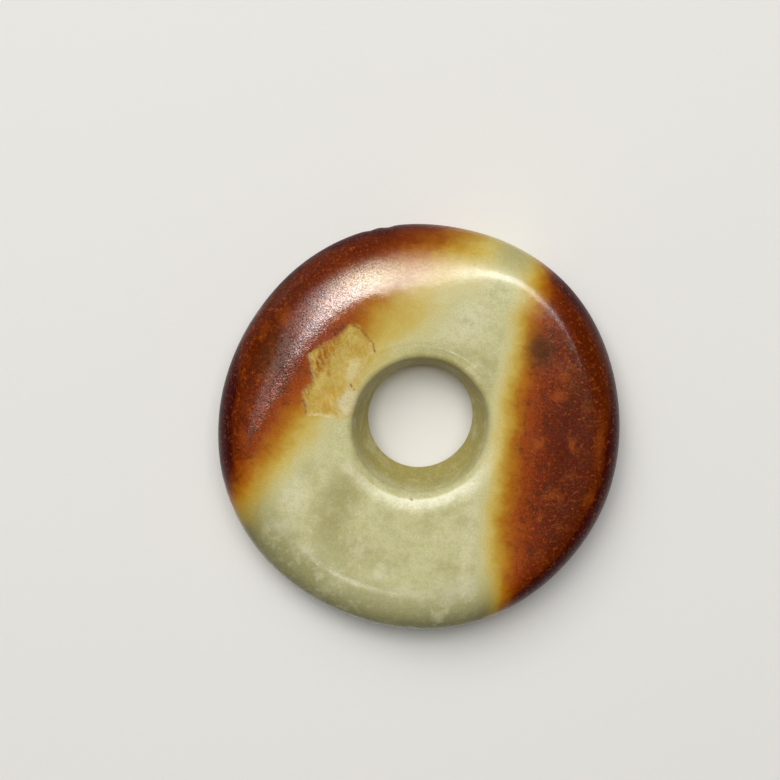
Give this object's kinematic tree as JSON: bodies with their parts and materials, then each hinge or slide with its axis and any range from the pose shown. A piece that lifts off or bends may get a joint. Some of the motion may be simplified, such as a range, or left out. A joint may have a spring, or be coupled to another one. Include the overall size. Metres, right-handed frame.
{
  "type": "jade disc pendant",
  "caption": "Thick hand-carved jade disc with a central hole drilled from both faces, rounded rim, polished-over scar, celadon cream body and russet skin.",
  "frame": {"origin": "under the middle of the disc's overall width and length, on the plane that its back face rests on", "axes": "+Z up through the hole from the back face to the face with the scar; seen face on, +X is to the right and +Y is up"},
  "size_m": [0.0496, 0.0504, 0.013],
  "materials": {
    "nephrite": "polished"
  },
  "bodies": {
    "root": {"jade_disc": "nephrite"}
  },
  "joints": []
}
